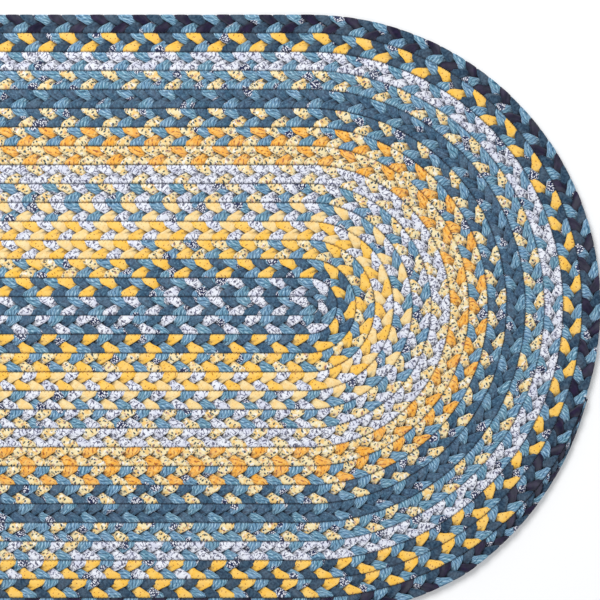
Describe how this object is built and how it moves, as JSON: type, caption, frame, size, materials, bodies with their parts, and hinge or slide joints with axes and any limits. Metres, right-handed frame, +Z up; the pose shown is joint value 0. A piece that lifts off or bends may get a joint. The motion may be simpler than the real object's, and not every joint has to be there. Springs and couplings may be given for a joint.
{
  "type": "braided rug",
  "caption": "Flat oval floor rug of braided cotton strips, coiled outwards from a straight middle row and sewn edge to edge.",
  "frame": {"origin": "middle of the rug's underside, on the surface it lies on", "axes": "+X along the rug, towards the end where the braid's tail is tapered in; +Y across the rug; +Z up out of its face"},
  "size_m": [1.143, 0.688, 0.01],
  "materials": {
    "sky_stripe": "matt light blue cotton with fine woven diagonal lines and a scattered dark flower",
    "denim": "matt slate blue cotton, nearly plain",
    "navy": "matt dark navy cotton, plain",
    "white_print": "matt white cotton with grey crackle lines and dark specks",
    "cream_print": "matt cream calico with small dark and yellow flowers",
    "golden_yellow": "matt golden yellow cotton with tiny red-brown dots",
    "pale_yellow": "matt pale yellow mottled cotton",
    "orange_print": "matt orange cotton with red-brown brush strokes",
    "sewing_thread": "fine polyester zigzag stitching along the seams"
  },
  "bodies": {
    "root": {"braid_coil": "sky_stripe"}
  },
  "joints": []
}
